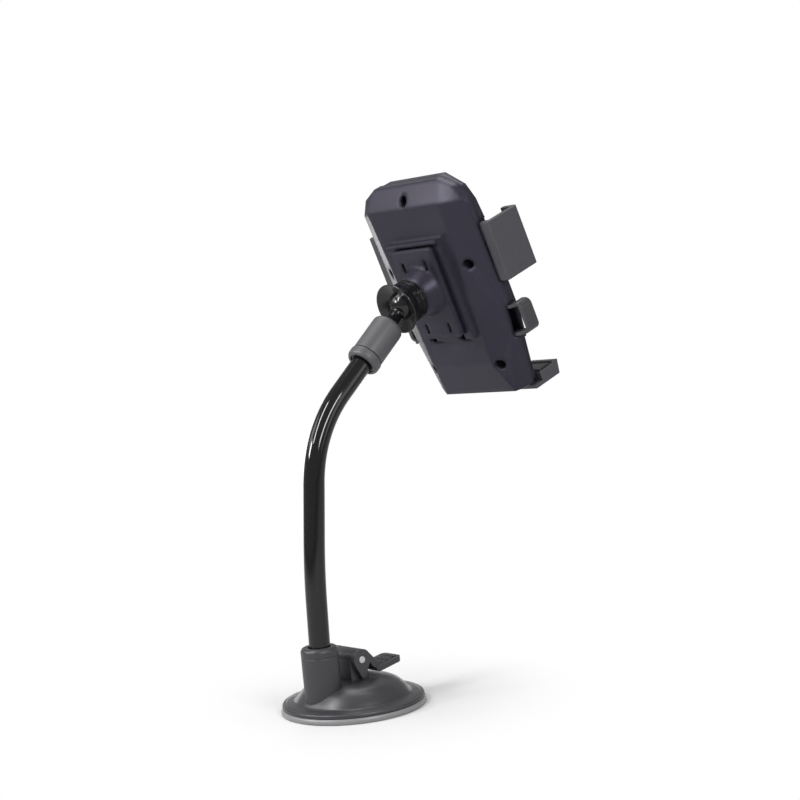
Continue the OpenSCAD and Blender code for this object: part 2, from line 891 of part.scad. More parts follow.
module front_housing() {
    color(charcoal) in_cradle() difference() {
        union() {
            difference() {
                plate_xz(rest_t, parting_y) polygon(front_outline(0));
                plate_xz(rest_t + case_wall, parting_y + over) polygon(front_outline(case_wall));
            }
            both_sides() jaw_recess_wall();
            at_screws() translate([0, 0, rest_t + case_wall / 2])
                cylinder(h = screw_seat_y - case_wall - slide_gap - rest_t - case_wall / 2, d = screw_boss_d);
            pinion_post();
        }
        both_sides() jaw_notch(notch_x, rest_t - over, parting_y + over);
        both_sides() jaw_notch(half_w - rim_in - case_wall, jaw_arm_y - jaw_arm_gap, parting_y + over);
        both_sides() button_window(button_room_x, rest_t + case_wall, parting_y + over);
        both_sides() side_groove();
        both_sides() foot_slot();
        at_screws() translate([0, 0, screw_tip_y]) cylinder(h = body_t, d = screw_d);
    }
}

module jaw_recess_wall() {
    box([notch_x - 2 * case_wall, rest_t + case_wall / 2, jaw_bottom - free_gap - case_wall],
        [half_w - front_in - case_wall / 2, jaw_arm_y - jaw_arm_gap, jaw_top + free_gap + case_wall]);
}

module pinion_post() {
    low = rest_t + case_wall / 2;
    translate([0, low, pinion_z]) rotate([-90, 0, 0]) {
        cylinder(h = pinion_y - slide_gap - low, d = post_shoulder_d);
        cylinder(h = pinion_y + pinion_t + 2 * slide_gap - low, d = post_d);
    }
}

module side_groove() {
    top = front_x(groove_top);
    low = front_x(groove_low);
    plate_xz(rest_t - over, rest_t + case_wall) polygon([
        [top - groove_in, groove_top], [top + over, groove_top],
        [low + over, groove_low], [low - groove_in, groove_low]]);
}

module foot_slot() {
    side = foot_arm_w / 2 + slide_gap;
    box([foot_arm_x - side, foot_arm_y - slide_gap, bottom_z - over],
        [foot_arm_x + side, foot_arm_y + foot_arm_t + slide_gap, bottom_z + case_wall + over]);
}

module rest_pad() {
    color(rubber) in_cradle() plate_xz(0, rest_t) translate([0, rest_z])
        round_rect(rest_w, rest_h, rest_corner);
}

module cover_screws() {
    color(steel) in_cradle() at_screws() {
        translate([0, 0, screw_tip_y]) cylinder(h = screw_seat_y - screw_tip_y, d = screw_d);
        difference() {
            translate([0, 0, screw_seat_y]) cylinder(h = screw_head_t, d = screw_head_d);
            translate([0, 0, screw_seat_y + screw_head_t / 2]) cross_slot();
        }
    }
}

module cross_slot() {
    slot = screw_head_d / 7;
    for (turn = [0, 90]) rotate([0, 0, turn])
        translate([-screw_head_d / 3, -slot / 2, 0]) cube([2 * screw_head_d / 3, slot, screw_head_t]);
}

// Jaws with their racks, and the pinion

// Angle of the involute at radius r, from its start on the base circle
function involute_angle(base_r, r) =
    let (roll = sqrt(max(0, pow(r / base_r, 2) - 1))) roll * 180 / PI - atan(roll);

// One flank of a pinion tooth as [radius, half angle of the tooth]
function flank(r) =
    let (base_r = pitch_r * cos(pressure_angle),
         half_pitch = 90 / pinion_teeth - tooth_backlash / 4 / pitch_r * 180 / PI)
    half_pitch + involute_angle(base_r, pitch_r) - involute_angle(base_r, max(r, base_r));

function tooth_points(i) =
    let (middle = i * 360 / pinion_teeth,
         root_r = pitch_r - tooth_ded,
         tip_r = pitch_r + tooth_add,
         rs = [root_r, pitch_r - tooth_add / 2, pitch_r, pitch_r + tooth_add / 2, tip_r])
    concat([for (r = rs) r * [cos(middle - flank(r)), sin(middle - flank(r))]],
           [for (r = reversed(rs)) r * [cos(middle + flank(r)), sin(middle + flank(r))]]);

module pinion() {
    color(dark) in_cradle() plate_xz(pinion_y, pinion_y + pinion_t) translate([0, pinion_z])
        difference() {
            rotate(90 + 180 / pinion_teeth) polygon([for (i = [0 : pinion_teeth - 1]) each tooth_points(i)]);
            circle(d = post_d + 4 * fit);
        }
}

// Rack above the pinion: teeth point down to the pitch line, and the bar runs out to x1
module rack_outline(x1) {
    pitch = PI * tooth_module;
    slope = tan(pressure_angle);
    half_pitch = pitch / 4 - tooth_backlash / 4;
    tip = half_pitch - tooth_add * slope;
    root = half_pitch + 2 * tooth_ded * slope;
    x0 = rack_first * pitch - root;
    translate([x0, tooth_ded]) square([x1 - x0, rack_bar]);
    for (i = [rack_first : rack_last]) translate([i * pitch, 0])
        polygon([[-tip, -tooth_add], [tip, -tooth_add], [root, 2 * tooth_ded], [-root, 2 * tooth_ded]]);
}

// Right jaw, on the +x side, without its rack
module jaw_body() {
    difference() {
        union() {
            translate([0, 0, jaw_bottom]) linear_extrude(jaw_h) jaw_plan();
            box([arm_inner_x, jaw_arm_y, jaw_bottom], [jaw_outer_x - jaw_edge, jaw_back_y, jaw_top]);
        }
        box([arm_inner_x - over, jaw_arm_y - over, jaw_z - arm_relief],
            [relief_x, jaw_back_y + over, jaw_z + arm_relief]);
    }
}

// Plan of a jaw: wall, back and the lip that turns in over the front
module jaw_plan() {
    difference() {
        hull() {
            translate([jaw_outer_x - jaw_edge, jaw_back_y - jaw_edge]) circle(jaw_edge, $fn = 24);
            translate([jaw_outer_x - 3 * jaw_edge, 3 * jaw_edge - jaw_reach])
                circle(3 * jaw_edge, $fn = 32);
            translate([jaw_outer_x - lip_w, jaw_edge - jaw_reach]) circle(jaw_edge, $fn = 24);
            translate([jaw_outer_x - lip_w - jaw_edge, jaw_arm_y]) square([jaw_edge, jaw_arm_t]);
        }
        translate([0, lip_t - jaw_reach]) square([jaw_inner_x, jaw_reach - lip_t + jaw_arm_y]);
    }
}

module jaw_with_rack() {
    jaw_body();
    plate_xz(jaw_arm_y, jaw_arm_y + rack_t) translate([0, pinion_z + pitch_r])
        rack_outline(arm_inner_x + over);
}

module jaw_right() {
    color(charcoal) in_cradle() jaw_with_rack();
}

module jaw_left() {
    color(charcoal) in_cradle() translate([0, 0, 2 * pinion_z]) rotate([0, 180, 0]) jaw_with_rack();
}

module jaw_pad() {
    h = jaw_h - 4 * jaw_edge;
    pitch = h / jaw_pad_ribs;
    x0 = jaw_gap / 2;
    difference() {
        box([x0, lip_t - jaw_reach + slide_gap, jaw_z - h / 2], [jaw_inner_x, 0, jaw_z + h / 2]);
        for (i = [1 : jaw_pad_ribs - 1])
            box([x0 - over, lip_t - jaw_reach, jaw_z - h / 2 + i * pitch - groove_w / 2],
                [x0 + jaw_pad_t / 4, over, jaw_z - h / 2 + i * pitch + groove_w / 2]);
    }
}

module jaw_pad_right() {
    color(rubber) in_cradle() jaw_pad();
}

module jaw_pad_left() {
    color(rubber) in_cradle() mirror([1, 0, 0]) jaw_pad();
}

// Release buttons

module button() {
    low = button_z - button_h / 2;
    high = button_z + button_h / 2;
    difference() {
        translate([0, 0, low]) linear_extrude(button_h) polygon([
            [button_root_x, rest_t + case_wall + slide_gap],
            [half_w + free_gap, rest_t + case_wall + slide_gap],
            [half_w + free_gap, button_front_y], [button_outer_x, button_front_y],
            [button_outer_x, button_back_y], [button_outer_x - button_wall, button_back_y],
            [half_w + free_gap, button_root_y], [button_root_x, button_root_y]]);
        box([button_root_x - over, button_front_y - over, low + button_arm_wall],
            [button_outer_x - button_wall, button_root_y + over, high - button_arm_wall]);
        button_round(low, -1);
        button_round(high, 1);
    }
}

// Rounds the button's outer corner at its top or bottom
module button_round(z, s) {
    x = button_outer_x - button_corner;
    difference() {
        box([x, button_front_y - over, min(z, z - s * button_corner)],
            [button_outer_x + over, button_root_y + over, max(z + s * over, z - s * button_corner)]);
        translate([x, button_root_y + 2 * over, z - s * button_corner]) rotate([90, 0, 0])
            cylinder(h = button_root_y - button_front_y + 4 * over, r = button_corner);
    }
}

module button_right() {
    color(charcoal) in_cradle() button();
}

module button_left() {
    color(charcoal) in_cradle() mirror([1, 0, 0]) button();
}

// Foot slide and its pads

// Side profile of a foot as [y, z]
module foot_profile() {
    shelf = foot_bottom + foot_t;
    back = rest_t - free_gap;
    polygon([[parting_y, foot_bottom], [parting_y, bottom_z - slide_gap], [back, bottom_z - slide_gap],
             [back, shelf], [foot_lip_t + foot_heel - foot_reach, shelf],
             [foot_lip_t - foot_reach, shelf + foot_lip_rise],
             [-foot_reach, shelf + foot_lip_rise / 2], [foot_lip_rise - foot_reach, foot_bottom]]);
}

module foot_slide() {
    x = foot_span / 2 - foot_w / 2;
    arm_top = bottom_z + foot_arm_h;
    side = foot_arm_w / 2;
    color(charcoal) in_cradle() {
        both_sides() translate([x, 0, 0]) across_x(foot_w) foot_profile();
        both_sides() box([foot_arm_x - side, foot_arm_y, foot_bottom + slide_gap],
                         [foot_arm_x + side, foot_arm_y + foot_arm_t, arm_top]);
        box([-foot_arm_x, foot_arm_y, arm_top - foot_bridge_h],
            [foot_arm_x, foot_arm_y + foot_arm_t, arm_top]);
    }
}

module foot_pads() {
    x = foot_span / 2 - foot_w / 2;
    shelf = foot_bottom + foot_t;
    front = foot_lip_t + foot_heel - foot_reach;
    color(rubber) in_cradle() both_sides() translate([x, 0, 0]) across_x(foot_w - 2 * foot_pad_t)
        polygon([[-slide_gap, shelf], [-slide_gap, shelf + foot_pad_t],
                 [front + foot_pad_t, shelf + foot_pad_t], [front + slide_gap, shelf]]);
}

suction_pad();
cup_shell();
pull_block();
lever();
lever_pin();
neck_core();
neck_sleeve();
top_collar();
ball_stud();
lock_nut();
clip_plate();
back_cover();
front_housing();
rest_pad();
cover_screws();
pinion();
jaw_left();
jaw_right();
jaw_pad_left();
jaw_pad_right();
button_left();
button_right();
foot_slide();
foot_pads();
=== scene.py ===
import json
import math

import bmesh
import bpy
import numpy as np
from mathutils import Matrix, Vector


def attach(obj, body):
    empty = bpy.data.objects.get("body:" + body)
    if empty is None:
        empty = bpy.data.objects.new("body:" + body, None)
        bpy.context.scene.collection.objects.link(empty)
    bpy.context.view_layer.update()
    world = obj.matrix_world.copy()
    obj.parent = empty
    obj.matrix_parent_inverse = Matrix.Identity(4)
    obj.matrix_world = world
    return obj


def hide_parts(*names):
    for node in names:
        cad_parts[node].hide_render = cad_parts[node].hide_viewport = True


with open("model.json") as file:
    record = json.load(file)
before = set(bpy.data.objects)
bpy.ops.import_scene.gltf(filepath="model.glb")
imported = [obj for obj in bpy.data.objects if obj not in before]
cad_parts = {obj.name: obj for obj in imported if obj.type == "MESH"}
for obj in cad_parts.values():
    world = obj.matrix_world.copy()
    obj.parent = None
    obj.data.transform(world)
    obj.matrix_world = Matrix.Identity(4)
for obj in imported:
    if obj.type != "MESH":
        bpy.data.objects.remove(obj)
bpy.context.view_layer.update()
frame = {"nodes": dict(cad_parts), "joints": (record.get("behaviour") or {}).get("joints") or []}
joints = {joint["name"]: joint for joint in frame["joints"]}
mm = 0.001
print("frame loaded:", len(frame["nodes"]), "solids")

# ---------------------------------------------------------------- camera

cameraSetup = {
    "place": (-0.68824, 0.56849, 0.22643),
    "forward": (0.7426, -0.6623, -0.0993),
    "up": (0.0112, -0.1360, 0.9907),
    "focalPixels": 2000,
    "imagePixels": 800,
    "sensor": 36,
    "clipNear": 0.05,
    "clipFar": 20,
}


def makeCamera():
    data = bpy.data.cameras.new("photoCamera")
    data.sensor_width = cameraSetup["sensor"]
    data.lens = cameraSetup["focalPixels"] / cameraSetup["imagePixels"] * cameraSetup["sensor"]
    data.clip_start = cameraSetup["clipNear"]
    data.clip_end = cameraSetup["clipFar"]
    forward = Vector(cameraSetup["forward"]).normalized()
    right = forward.cross(Vector(cameraSetup["up"])).normalized()
    up = right.cross(forward)
    turn = Matrix((right, up, -forward)).transposed().to_4x4()
    obj = bpy.data.objects.new("photoCamera", data)
    bpy.context.scene.collection.objects.link(obj)
    obj.matrix_world = Matrix.Translation(cameraSetup["place"]) @ turn
    bpy.context.scene.camera = obj
    return right, forward


viewRight, viewForward = makeCamera()

# ---------------------------------------------------------------- mesh helpers

# distances in m within which points are merged, and angles in degrees
meshing = {"seam": 1e-7, "weld": 2e-6, "flatAngle": 0.4, "edgeAngle": 22, "edgeSegments": 2,
           "faceWeight": 80}


def meshFrom(name, points, faces):
    # a mesh from rows of points and lists of corner numbers, smooth all over
    mesh = bpy.data.meshes.new(name)
    mesh.from_pydata(points.tolist(), [], faces)
    mesh.validate()
    mesh.polygons.foreach_set("use_smooth", np.ones(len(mesh.polygons), bool))
    obj = bpy.data.objects.new(name, mesh)
    bpy.context.scene.collection.objects.link(obj)
    return obj


def outwards(obj):
    # merges doubles at seams and poles, then turns every face outwards
    shape = bmesh.new()
    shape.from_mesh(obj.data)
    bmesh.ops.remove_doubles(shape, verts=shape.verts, dist=meshing["seam"])
    bmesh.ops.recalc_face_normals(shape, faces=shape.faces)
    shape.to_mesh(obj.data)
    shape.free()
    return obj


def gridFaces(rows, columns, wrapRows, wrapColumns):
    # quads between neighbouring rows and columns of a grid, joined at the ends where it wraps
    i = np.arange(rows if wrapRows else rows - 1)[:, None]
    j = np.arange(columns if wrapColumns else columns - 1)[None, :]
    nextRow, nextColumn = (i + 1) % rows, (j + 1) % columns
    quads = np.stack([i * columns + j, i * columns + nextColumn,
                      nextRow * columns + nextColumn, nextRow * columns + j], axis=-1)
    return quads.reshape(-1, 4).tolist()


def roundedProfile(corners, steps=6):
    # each corner (radius, height, rounding) becomes an arc-like curve between two points
    # at the rounding's distance along its sides: p = (1-t)^2 a + 2t(1-t) corner + t^2 b
    corners = np.array([c if len(c) == 3 else (*c, 0.0) for c in corners], float)
    out = []
    for k, (x, y, soft) in enumerate(corners):
        here = np.array([x, y])
        if soft == 0 or k in (0, len(corners) - 1):
            out.append(here[None])
            continue
        before, after = corners[k - 1, :2] - here, corners[k + 1, :2] - here
        lengthIn, lengthOut = np.linalg.norm(before), np.linalg.norm(after)
        a = here + before / lengthIn * min(soft, lengthIn / 2)
        b = here + after / lengthOut * min(soft, lengthOut / 2)
        t = np.linspace(0, 1, steps)[:, None]
        out.append((1 - t) ** 2 * a + 2 * t * (1 - t) * here + t ** 2 * b)
    return np.vstack(out)


def stepped(radius, height, steps, along=-1):
    # corners given as (inwards, along, rounding) from a place on the profile, downwards by default
    return [(radius - inwards, height + along * step, soft) for inwards, step, soft in steps]


def turned(name, profile, place, sides=96, closed=True):
    # turns a profile of (radius, height) in mm about local z: (r cos a, r sin a, h), then places it
    profile = np.asarray(profile, float)
    angle = np.linspace(0, 2 * np.pi, sides, endpoint=False)
    points = np.stack([profile[:, :1] * np.cos(angle), profile[:, :1] * np.sin(angle),
                       np.repeat(profile[:, 1:], sides, axis=1)], axis=-1).reshape(-1, 3) * mm
    obj = meshFrom(name, points, gridFaces(len(profile), sides, closed, True))
    obj.data.transform(place)
    return outwards(obj)


def standingAt(origin, direction):
    # a frame whose z runs along the direction
    z = Vector(direction).normalized()
    x = Vector((1, 0, 0))
    y = z.cross(x).normalized()
    x = y.cross(z)
    turn = Matrix((x, y, z)).transposed().to_4x4()
    return Matrix.Translation(Vector(origin)) @ turn


def sweptTube(name, centres, headings, radius, sides=48):
    # rings of one radius around a route in the plane x = 0, square to the heading at each point
    angle = np.linspace(0, 2 * np.pi, sides, endpoint=False)
    across = np.array([1.0, 0, 0])
    inPlane = np.cross(headings, across)
    points = centres[:, None] + radius * (np.cos(angle)[None, :, None] * across
                                          + np.sin(angle)[None, :, None] * inPlane[:, None])
    faces = gridFaces(len(centres), sides, False, True)
    faces += [list(range(sides)), list(range((len(centres) - 1) * sides, len(centres) * sides))]
    obj = meshFrom(name, points.reshape(-1, 3) * mm, faces)
    return outwards(obj)


def softCopy(name, node, width):
    # a merged copy of a solid: flat triangles joined, edges rounded by the width in mm
    mesh = frame["nodes"][node].data.copy()
    mesh.name = name
    shape = bmesh.new()
    shape.from_mesh(mesh)
    bmesh.ops.remove_doubles(shape, verts=shape.verts, dist=meshing["weld"])
    bmesh.ops.dissolve_limit(shape, angle_limit=math.radians(meshing["flatAngle"]),
                             verts=shape.verts, edges=shape.edges)
    shape.to_mesh(mesh)
    shape.free()
    mesh.polygons.foreach_set("use_smooth", np.ones(len(mesh.polygons), bool))
    obj = bpy.data.objects.new(name, mesh)
    bpy.context.scene.collection.objects.link(obj)
    bevel = obj.modifiers.new("edges", "BEVEL")
    bevel.width = width * mm
    bevel.segments = meshing["edgeSegments"]
    bevel.limit_method = "ANGLE"
    bevel.angle_limit = math.radians(meshing["edgeAngle"])
    bevel.miter_outer = "MITER_ARC"
    normals = obj.modifiers.new("normals", "WEIGHTED_NORMAL")
    normals.weight = meshing["faceWeight"]
    normals.keep_sharp = True
    return obj


# ---------------------------------------------------------------- materials

grainLook = {"pitDetail": 3, "pitRoughness": 0.6, "pitShare": 0.8, "swellScale": 38, "swellDetail": 2,
             "middle": 0.5}
wearLook = {"edgeFrom": 0.5, "edgeTo": 0.62, "noiseScale": 420}
shading = {"bumpDistance": 0.0001, "edgeSamples": 6, "subsurfaceDepth": 0.001}


def newGroup(name, inputs, outputs):
    group = bpy.data.node_groups.new(name, "ShaderNodeTree")
    for label, kind, value in inputs:
        socket = group.interface.new_socket(name=label, in_out="INPUT", socket_type=kind)
        socket.default_value = value
    for label, kind in outputs:
        group.interface.new_socket(name=label, in_out="OUTPUT", socket_type=kind)
    return group, group.nodes.new("NodeGroupInput"), group.nodes.new("NodeGroupOutput")


def makeGrainGroup():
    # moulded grain: fine pits over a faint long swell, out as a height and a roughness shift
    group, given, result = newGroup("mouldGrain", [("Scale", "NodeSocketFloat", 4000.0)],
                                    [("Height", "NodeSocketFloat"), ("Shift", "NodeSocketFloat")])
    nodes, links = group.nodes, group.links
    place = nodes.new("ShaderNodeTexCoord")
    pits = nodes.new("ShaderNodeTexNoise")
    pits.inputs["Detail"].default_value = grainLook["pitDetail"]
    pits.inputs["Roughness"].default_value = grainLook["pitRoughness"]
    swell = nodes.new("ShaderNodeTexNoise")
    swell.inputs["Scale"].default_value = grainLook["swellScale"]
    swell.inputs["Detail"].default_value = grainLook["swellDetail"]
    mix = nodes.new("ShaderNodeMath")
    mix.operation = "MULTIPLY_ADD"
    mix.inputs[1].default_value = grainLook["pitShare"]
    centred = nodes.new("ShaderNodeMath")
    centred.operation = "SUBTRACT"
    centred.inputs[1].default_value = grainLook["middle"]
    links.new(place.outputs["Object"], pits.inputs["Vector"])
    links.new(given.outputs["Scale"], pits.inputs["Scale"])
    links.new(place.outputs["Object"], swell.inputs["Vector"])
    links.new(pits.outputs["Fac"], mix.inputs[0])
    links.new(swell.outputs["Fac"], mix.inputs[2])
    links.new(swell.outputs["Fac"], centred.inputs[0])
    links.new(mix.outputs[0], result.inputs["Height"])
    links.new(centred.outputs[0], result.inputs["Shift"])
    return group


def makeWearGroup():
    # worn edges: 0 on flat faces and up to 1 on outer edges, broken up by noise
    group, given, result = newGroup("edgeWear", [("Amount", "NodeSocketFloat", 0.5)],
                                    [("Mask", "NodeSocketFloat")])
    nodes, links = group.nodes, group.links
    place = nodes.new("ShaderNodeTexCoord")
    shape = nodes.new("ShaderNodeNewGeometry")
    edge = nodes.new("ShaderNodeMapRange")
    edge.inputs["From Min"].default_value = wearLook["edgeFrom"]
    edge.inputs["From Max"].default_value = wearLook["edgeTo"]
    noise = nodes.new("ShaderNodeTexNoise")
    noise.inputs["Scale"].default_value = wearLook["noiseScale"]
    broken = nodes.new("ShaderNodeMath")
    broken.operation = "MULTIPLY"
    scaled = nodes.new("ShaderNodeMath")
    scaled.operation = "MULTIPLY"
    links.new(shape.outputs["Pointiness"], edge.inputs["Value"])
    links.new(place.outputs["Object"], noise.inputs["Vector"])
    links.new(edge.outputs["Result"], broken.inputs[0])
    links.new(noise.outputs["Fac"], broken.inputs[1])
    links.new(broken.outputs[0], scaled.inputs[0])
    links.new(given.outputs["Amount"], scaled.inputs[1])
    links.new(scaled.outputs[0], result.inputs["Mask"])
    return group


grainGroup = makeGrainGroup()
wearGroup = makeWearGroup()


def finish(name, settings):
    # one finish: a base colour that lightens on worn edges, a roughness that wanders, and grain
    material = bpy.data.materials.new(name)
    material.use_nodes = True
    nodes, links = material.node_tree.nodes, material.node_tree.links
    surface = nodes["Principled BSDF"]
    grain = nodes.new("ShaderNodeGroup")
    grain.node_tree = grainGroup
    grain.inputs["Scale"].default_value = settings["grainScale"]
    wear = nodes.new("ShaderNodeGroup")
    wear.node_tree = wearGroup
    wear.inputs["Amount"].default_value = settings["wear"]
    colour = nodes.new("ShaderNodeMix")
    colour.data_type = "RGBA"
    colour.inputs["A"].default_value = (*settings["colour"], 1)
    colour.inputs["B"].default_value = (*settings["wornColour"], 1)
    rough = nodes.new("ShaderNodeMath")
    rough.operation = "MULTIPLY_ADD"
    rough.inputs[1].default_value = settings["roughSpread"]
    rough.inputs[2].default_value = settings["roughness"]
    bump = nodes.new("ShaderNodeBump")
    bump.inputs["Strength"].default_value = settings["grainDepth"]
    bump.inputs["Distance"].default_value = shading["bumpDistance"]
    links.new(wear.outputs["Mask"], colour.inputs["Factor"])
    links.new(colour.outputs["Result"], surface.inputs["Base Color"])
    links.new(grain.outputs["Shift"], rough.inputs[0])
    links.new(rough.outputs[0], surface.inputs["Roughness"])
    links.new(grain.outputs["Height"], bump.inputs["Height"])
    links.new(bump.outputs["Normal"], surface.inputs["Normal"])
    if settings.get("edgeRadius"):
        edge = nodes.new("ShaderNodeBevel")
        edge.samples = shading["edgeSamples"]
        edge.inputs["Radius"].default_value = settings["edgeRadius"] * mm
        links.new(edge.outputs["Normal"], bump.inputs["Normal"])
    surface.inputs["Metallic"].default_value = settings.get("metallic", 0)
    surface.inputs["Specular IOR Level"].default_value = settings.get("specular", 0.5)
    surface.inputs["Specular Tint"].default_value = (*settings.get("sheen", (1, 1, 1)), 1)
    if settings.get("subsurface"):
        surface.inputs["Subsurface Weight"].default_value = settings["subsurface"]
        surface.inputs["Subsurface Radius"].default_value = (1, 1, 1)
        surface.inputs["Subsurface Scale"].default_value = shading["subsurfaceDepth"]
    return material


# roughness with its spread, the grain's scale and depth, the amount of edge wear and, where one is
# wanted, the radius in mm to which the shading softens an edge
finishes = {
    "satinPlastic": {
        "colour": (0.030, 0.030, 0.034), "wornColour": (0.075, 0.075, 0.084), "roughness": 0.42,
        "roughSpread": 0.12, "grainScale": 5200, "grainDepth": 0.12, "wear": 0.5, "edgeRadius": 0.5},
    "shellPlastic": {
        "colour": (0.030, 0.030, 0.034), "wornColour": (0.075, 0.075, 0.084), "roughness": 0.34,
        "roughSpread": 0.10, "grainScale": 5200, "grainDepth": 0.08, "wear": 0.5},
    "coverPlastic": {
        "colour": (0.0125, 0.0110, 0.0190), "wornColour": (0.04, 0.038, 0.05), "roughness": 0.40,
        "roughSpread": 0.12, "grainScale": 5200, "grainDepth": 0.10, "wear": 0.5, "edgeRadius": 3.0,
        "specular": 0.36, "sheen": (0.95, 0.90, 1.12)},
    "jawPlastic": {
        "colour": (0.040, 0.038, 0.046), "wornColour": (0.08, 0.08, 0.085), "roughness": 0.5,
        "roughSpread": 0.10, "grainScale": 4200, "grainDepth": 0.16, "wear": 0.5, "edgeRadius": 0.5},
    "collarPlastic": {
        "colour": (0.064, 0.064, 0.068), "wornColour": (0.10, 0.10, 0.105), "roughness": 0.42,
        "roughSpread": 0.10, "grainScale": 4200, "grainDepth": 0.12, "wear": 0.4},
    "glossPlastic": {
        "colour": (0.006, 0.006, 0.007), "wornColour": (0.03, 0.03, 0.032), "roughness": 0.15,
        "roughSpread": 0.08, "grainScale": 900, "grainDepth": 0.02, "wear": 0.3},
    "sleevePlastic": {
        "colour": (0.006, 0.006, 0.0065), "wornColour": (0.01, 0.01, 0.01), "roughness": 0.08,
        "roughSpread": 0.04, "grainScale": 600, "grainDepth": 0.005, "wear": 0.1, "specular": 0.42},
    "softGel": {
        "colour": (0.20, 0.20, 0.205), "wornColour": (0.30, 0.30, 0.31), "roughness": 0.32,
        "roughSpread": 0.1, "grainScale": 1500, "grainDepth": 0.06, "wear": 0.3, "subsurface": 0.3},
    "brightSteel": {
        "colour": (0.62, 0.62, 0.64), "wornColour": (0.7, 0.7, 0.72), "roughness": 0.28,
        "roughSpread": 0.15, "grainScale": 2600, "grainDepth": 0.06, "wear": 0.3, "metallic": 1},
    "darkScrew": {
        "colour": (0.05, 0.05, 0.055), "wornColour": (0.2, 0.2, 0.2), "roughness": 0.35,
        "roughSpread": 0.1, "grainScale": 2600, "grainDepth": 0.08, "wear": 0.6, "metallic": 1},
    "padRubber": {
        "colour": (0.014, 0.014, 0.015), "wornColour": (0.03, 0.03, 0.03), "roughness": 0.72,
        "roughSpread": 0.12, "grainScale": 3000, "grainDepth": 0.25, "wear": 0.3},
    "gearNylon": {
        "colour": (0.03, 0.03, 0.032), "wornColour": (0.05, 0.05, 0.05), "roughness": 0.4,
        "roughSpread": 0.1, "grainScale": 3000, "grainDepth": 0.08, "wear": 0.3},
}
materials = {name: finish(name, settings) for name, settings in finishes.items()}
print("finishes made:", len(materials))


def dress(obj, materialName, body, slot, *nodes):
    # gives a new piece its finish, its body and the solids that it stands for
    obj.data.materials.clear()
    obj.data.materials.append(materials[materialName])
    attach(obj, body)
    if nodes:
        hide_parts(*nodes)
    return obj


def dressSolid(node, materialName):
    # gives a solid that is shown as it is its finish
    mesh = frame["nodes"][node].data
    mesh.materials.clear()
    mesh.materials.append(materials[materialName])


# ---------------------------------------------------------------- suction base

# steps are (inwards, up or down, rounding) from the edge that each table's comment names, all in mm
basePad = {
    "radius": 33.2, "rim": 2.6, "dish": 1.4, "land": 3.4, "landRounding": 0.4,
    "bossRadius": 12, "bossHeight": 2.2, "bossRounding": 0.5,
    "rings": 26, "ringFrom": 1.5, "ringMargin": 0.6, "ringRelief": 0.12, "ringRounding": 0.3,
    # from the foot and from the top of the pad's side
    "footSteps": [(0.4, 0, 0.3), (0, 0.8, 0.5)],
    "rimSteps": [(0, 0.8, 0.5), (0.5, 0, 0.3)],
    "arcSteps": 4, "sides": 128,
}
domeShape = {
    "flangeRadius": 32.5, "flangeLow": 2.6, "flangeTop": 4.8, "wall": 2, "foot": 27, "flat": 14, "top": 13.4,
    "crownRounding": 3.0,
    "shoulder": [(20.6, 11.7, 4.0), (24.6, 8.0, 3.0)],
    "root": (26.6, 0.3, 0.9),
    # from the flange's top edge and from its lower edge
    "flangeSteps": [(2.2, 0, 0.6), (1.6, 0.25, 0.3), (0.3, 0.35, 0.4), (0, 1.1, 0.35)],
    "underSteps": [(0, 0.3, 0.25), (0.4, 0.02, 0.2)],
    "mouth": (0.02, 0.3),
    "hollow": [(24, 6.6, 2.0), (19, 10.2, 2.0)],
    "ceilingRounding": 1.0, "arcSteps": 8, "sides": 160,
}
columnShape = {
    "radius": 8.5, "root": 6.0, "top": 31.6, "y": 17, "boreRadius": 4.85, "boreFloor": 19.6, "boreLead": 0.5,
    "leadRounding": 0.3,
    # from the column's foot and from its top edge, which has one shallow groove below it
    "rootSteps": [(0.2, 0, 0.1), (0, 0.4, 0.1)],
    "sideSteps": [(0, 4.6, 0.05), (0.12, 4.45, 0.05), (0.12, 4.15, 0.05), (0, 4.0, 0.05),
                  (0, 1.1, 0.9), (1.1, 0, 0.8)],
    "arcSteps": 6, "sides": 96,
}


def makePad():
    # sealing pad: a dish with fine rings inside its sealing land, a soft rim and a raised middle
    g = basePad
    inner, shelf = g["radius"] - g["land"], g["rim"] + g["bossHeight"]
    ringRadii = np.linspace(g["ringFrom"], inner - g["ringMargin"], g["rings"])
    rings = [(r, g["dish"] * (1 - (r / inner) ** 2) + g["ringRelief"] * (k % 2), g["ringRounding"])
             for k, r in enumerate(ringRadii)]
    corners = [(0, g["dish"]), *rings, (inner, 0, g["landRounding"]),
               *stepped(g["radius"], 0, g["footSteps"], 1), *stepped(g["radius"], g["rim"], g["rimSteps"]),
               (g["bossRadius"] + g["bossHeight"], g["rim"], g["bossRounding"]),
               (g["bossRadius"], shelf, g["bossRounding"]), (0, shelf)]
    profile = roundedProfile(corners, g["arcSteps"])
    pad = turned("suctionPad", profile, Matrix.Identity(4), g["sides"], False)
    dress(pad, "softGel", "base", "gel", "suction_pad")


